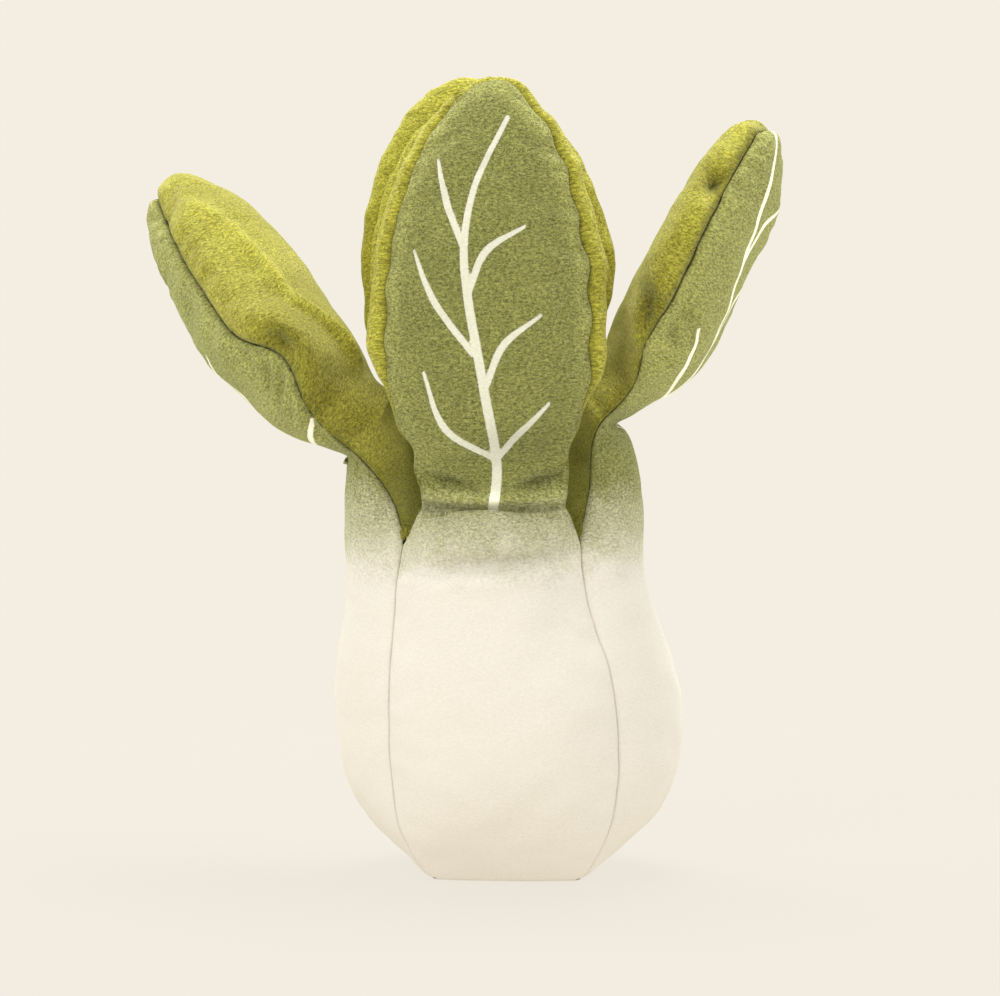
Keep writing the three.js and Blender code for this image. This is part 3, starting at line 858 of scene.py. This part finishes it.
def wrinkled_share(cloth):
    """How much of the simulated wrinkles a piece shows. The tightly filled body shows next to none."""
    if not cloth.name.startswith("cover"):
        return 0.5
    up = cloth.grid["up"]
    if cloth.name in ("cover_left", "cover_right"):
        return 0.12 + 0.75 * smooth(-8, 12, up)
    return 0.12 + 0.4 * smooth(22, 40, up)


def make_cloths():
    cloths = []
    grids = {}
    for side, leaf in LEAVES.items():
        grids["cover_" + side], grids["inner_face_" + side] = cover_grid(leaf), inner_grid(leaf)
    grids["heart_leaf_outer_face"], grids["heart_leaf_inner_face"] = heart_grid("out"), heart_grid("inn")
    pieces = {name: (grid["points"], "inner" in name) for name, grid in grids.items()}
    for name, wrinkle in simulated(pieces).items():
        grids[name]["wrinkle"] = wrinkle
    for k, (side, leaf) in enumerate(LEAVES.items()):
        cover_name, inner_name = "cover_" + side, "inner_face_" + side
        cover = Cloth(cover_name, grids[cover_name], False, cover_seams, EDGE_SEED + k)
        inner = Cloth(inner_name, grids[inner_name], True, inner_seams, EDGE_SEED + k, rim=RIMS[side])
        shape_cover(cover, COVER_SEED + k)
        shape_inner(inner, INNER_SEED + k)
        cloths += [cover, inner]
    for k, (name, side) in enumerate((("heart_leaf_outer_face", "out"), ("heart_leaf_inner_face", "inn"))):
        rim = HEART_RIM if side == "inn" else 0
        heart = Cloth(name, grids[name], side == "inn", heart_seams, EDGE_SEED + len(LEAVES), 0.3, rim)
        shape_leaf(heart, HEART_SEED + k, 0.3, 8, (16, 34))
        cloths.append(heart)
    base = Cloth("base_panel", base_grid(), True, base_seams, 0)
    base_near, _, _ = base.measure("base")
    base.depth += rolled(base_near, *BASE_ROLL)
    base.calm = 0.0
    cloths.append(base)
    share_normals(cloths)
    for cloth in cloths:
        for *spec, shade in DENTS.get(cloth.name, []):
            hollow = dent(cloth.grid, *spec) * smooth(0, 4, cloth.edge)
            cloth.depth += hollow
            # Painted shade in each hollow, painted highlight on each ridge (a depth below 0).
            cloth.fold += shade * hollow
        if "up" in cloth.grid:
            # Painted highlight, growing towards the piece's tip.
            paler, low, high = PAINTED_TIP_HIGHLIGHT.get(cloth.name, (0, 0, 1))
            cloth.fold -= paler * smooth(low, high, cloth.grid["up"])
        wrinkle = cloth.grid.get("wrinkle", 0) * smooth(0, 4, cloth.edge) * wrinkled_share(cloth)
        cloth.depth -= wrinkle
        # Painted shade in the wrinkles' hollows, painted highlight on their crests.
        cloth.fold -= 0.12 * wrinkle
        for k, (height, wavelengths) in enumerate((LARGE_LUMPS, SMALL_LUMPS)):
            cloth.depth -= height * lumps(cloth.points, SEED + k, wavelengths) * cloth.calm
        cloth.shaped = cloth.points - cloth.normals * cloth.depth[..., None]
    return {cloth.name: cloth for cloth in cloths}


def build_toy():
    materials = dict(
        printed_plush=printed_plush(),
        chartreuse_plush=plain_plush("chartreuse_plush", CHARTREUSE, (0.97, 0.96, 0.48, 1)),
        sage_plush=plain_plush("sage_plush", SAGE, (0.94, 0.95, 0.52, 1)),
        cream_plush=plain_plush("cream_plush", CREAM, (1, 0.98, 0.92, 1), 0.07, False),
    )
    inside = {f"cover_{side}": [f"leaf_filling_{side}"] for side in LEAVES}
    inside["heart_leaf_outer_face"] = ["heart_leaf_filling"]
    inside["base_panel"] = ["bean_pouch", "body_filling"]
    for name, cloth in make_cloths().items():
        kind = name.split("_")[0]
        slot = {"cover": "printed_plush", "inner": "chartreuse_plush", "base": "cream_plush"}.get(kind)
        slot = slot or ("sage_plush" if "outer" in name else "chartreuse_plush")
        # The pieces carry their painted shade and painted highlight to the material as an attribute.
        attributes = dict(seam_distance=cloth.edge, fold=np.clip(cloth.fold, -1, 1))
        if kind != "base":
            attributes.update(across=cloth.grid["across"], up=cloth.grid["up"])
        if kind == "cover":
            side = name.split("_")[1]
            attributes.update(cloth_height=cloth.grid["height"], vein=vein_field(cloth.grid, side))
        piece = mesh_piece("plush_" + name, cloth.shaped, materials[slot], attributes, cloth.flip)
        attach(piece, "root")
        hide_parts(name, *inside.get(name, []))


# ---- Stage, light and camera ---------------------------------------------------------------------
BACKDROP = (0.9047, 0.855, 0.760, 1)
AMBIENT, AMBIENT_STRENGTH = (0.98, 0.97, 0.94, 1), 0.70
FLOOR_COLOUR = (0.42, 0.41, 0.39, 1)
FLOOR_RADIUS, FLOOR_Z = 3, -0.0004
FLOOR_GLOW = 0.88  # how much of the floor shines like the backdrop, whatever falls on it
FLOOR_FADE = (0.18, 0.7)  # how far from the toy the floor starts and ends to clear away


def build_stage():
    bpy.ops.mesh.primitive_circle_add(
        vertices=96, radius=FLOOR_RADIUS, fill_type="NGON", location=(0, 0, FLOOR_Z),
    )
    floor = bpy.context.object
    floor.name = "floor"
    nodes = Nodes("floor")
    nodes.tree.nodes.remove(nodes.shader)
    output = nodes.tree.nodes["Material Output"]
    diffuse = nodes.add("BsdfDiffuse", Color=FLOOR_COLOUR)
    glow = nodes.add("Emission", Color=BACKDROP, Strength=1.0)
    even = nodes.add("MixShader", i0=FLOOR_GLOW, i1=diffuse.outputs[0], i2=glow.outputs[0])
    clear = nodes.add("BsdfTransparent")
    distance = nodes.add("VectorMath", {"operation": "LENGTH"}, i0=nodes.coordinates()).outputs["Value"]
    far = nodes.remap(distance, *FLOOR_FADE, smooth_step=True)
    fade = nodes.add("MixShader", i0=far, i1=even.outputs[0], i2=clear.outputs[0])
    nodes.tree.links.new(fade.outputs[0], output.inputs["Surface"])
    floor.data.materials.append(nodes.material)


# Name, place, what it is turned to, size, power and colour.
LIGHTS = [
    ("key", (-0.5, -0.75, 0.95), (0, 0, 0.14), 0.45, 3.7, (1, 0.985, 0.95)),
    ("top", (0.05, 0.25, 1.1), (0, 0, 0.15), 0.6, 13.0, (1, 1, 1)),
    ("left", (-0.75, -0.35, 0.06), (0, 0, 0.15), 0.4, 0.9, (1, 1, 1)),
    ("right", (0.75, -0.35, 0.06), (0, 0, 0.15), 0.4, 1.1, (1, 1, 1)),
    ("low", (0.1, -0.8, 0.03), (0, 0, 0.03), 0.3, 0.5, (1, 0.97, 0.92)),
    ("rim_left", (-0.55, 0.75, 0.5), (0, 0, 0.15), 0.5, 2.8, (1, 1, 1)),
    ("rim_right", (0.55, 0.75, 0.5), (0, 0, 0.15), 0.5, 2.8, (1, 1, 1)),
]


def area_light(name, location, target, size, power, colour):
    light = bpy.data.lights.new(name, "AREA")
    light.shape = "DISK"
    light.size = size
    light.energy = power
    light.color = colour
    lamp = bpy.data.objects.new(name, light)
    bpy.context.scene.collection.objects.link(lamp)
    lamp.location = location
    lamp.rotation_euler = (Vector(target) - Vector(location)).to_track_quat("-Z", "Y").to_euler()


def build_lights():
    world = bpy.data.worlds.new("studio")
    bpy.context.scene.world = world
    world.use_nodes = True
    tree = world.node_tree
    backdrop = tree.nodes["Background"]
    backdrop.inputs["Color"].default_value = BACKDROP
    ambient = tree.nodes.new("ShaderNodeBackground")
    ambient.inputs["Color"].default_value = AMBIENT
    ambient.inputs["Strength"].default_value = AMBIENT_STRENGTH
    seen = tree.nodes.new("ShaderNodeLightPath")
    mix = tree.nodes.new("ShaderNodeMixShader")
    tree.links.new(seen.outputs["Is Camera Ray"], mix.inputs[0])
    tree.links.new(ambient.outputs[0], mix.inputs[1])
    tree.links.new(backdrop.outputs[0], mix.inputs[2])
    tree.links.new(mix.outputs[0], tree.nodes["World Output"].inputs["Surface"])
    for light in LIGHTS:
        area_light(*light)
    bpy.context.scene.view_settings.view_transform = "Standard"


CAMERA_LENS = 135.0
SENSOR = 36.0
FRAME_WIDTH = 0.3005  # metres across the picture where the toy stands
CAMERA_PITCH = 4.0
AIM = (-0.003, 0, 0.1125)


def build_camera():
    data = bpy.data.cameras.new("camera")
    data.lens = CAMERA_LENS
    data.sensor_width = SENSOR
    camera = bpy.data.objects.new("camera", data)
    bpy.context.scene.collection.objects.link(camera)
    distance = FRAME_WIDTH * CAMERA_LENS / SENSOR
    pitch = math.radians(CAMERA_PITCH)
    back = Vector((0, -math.cos(pitch), math.sin(pitch)))
    camera.location = Vector(AIM) + back * distance
    camera.rotation_euler = (-back).to_track_quat("-Z", "Y").to_euler()
    bpy.context.scene.camera = camera


build_camera()
build_toy()
build_stage()
build_lights()
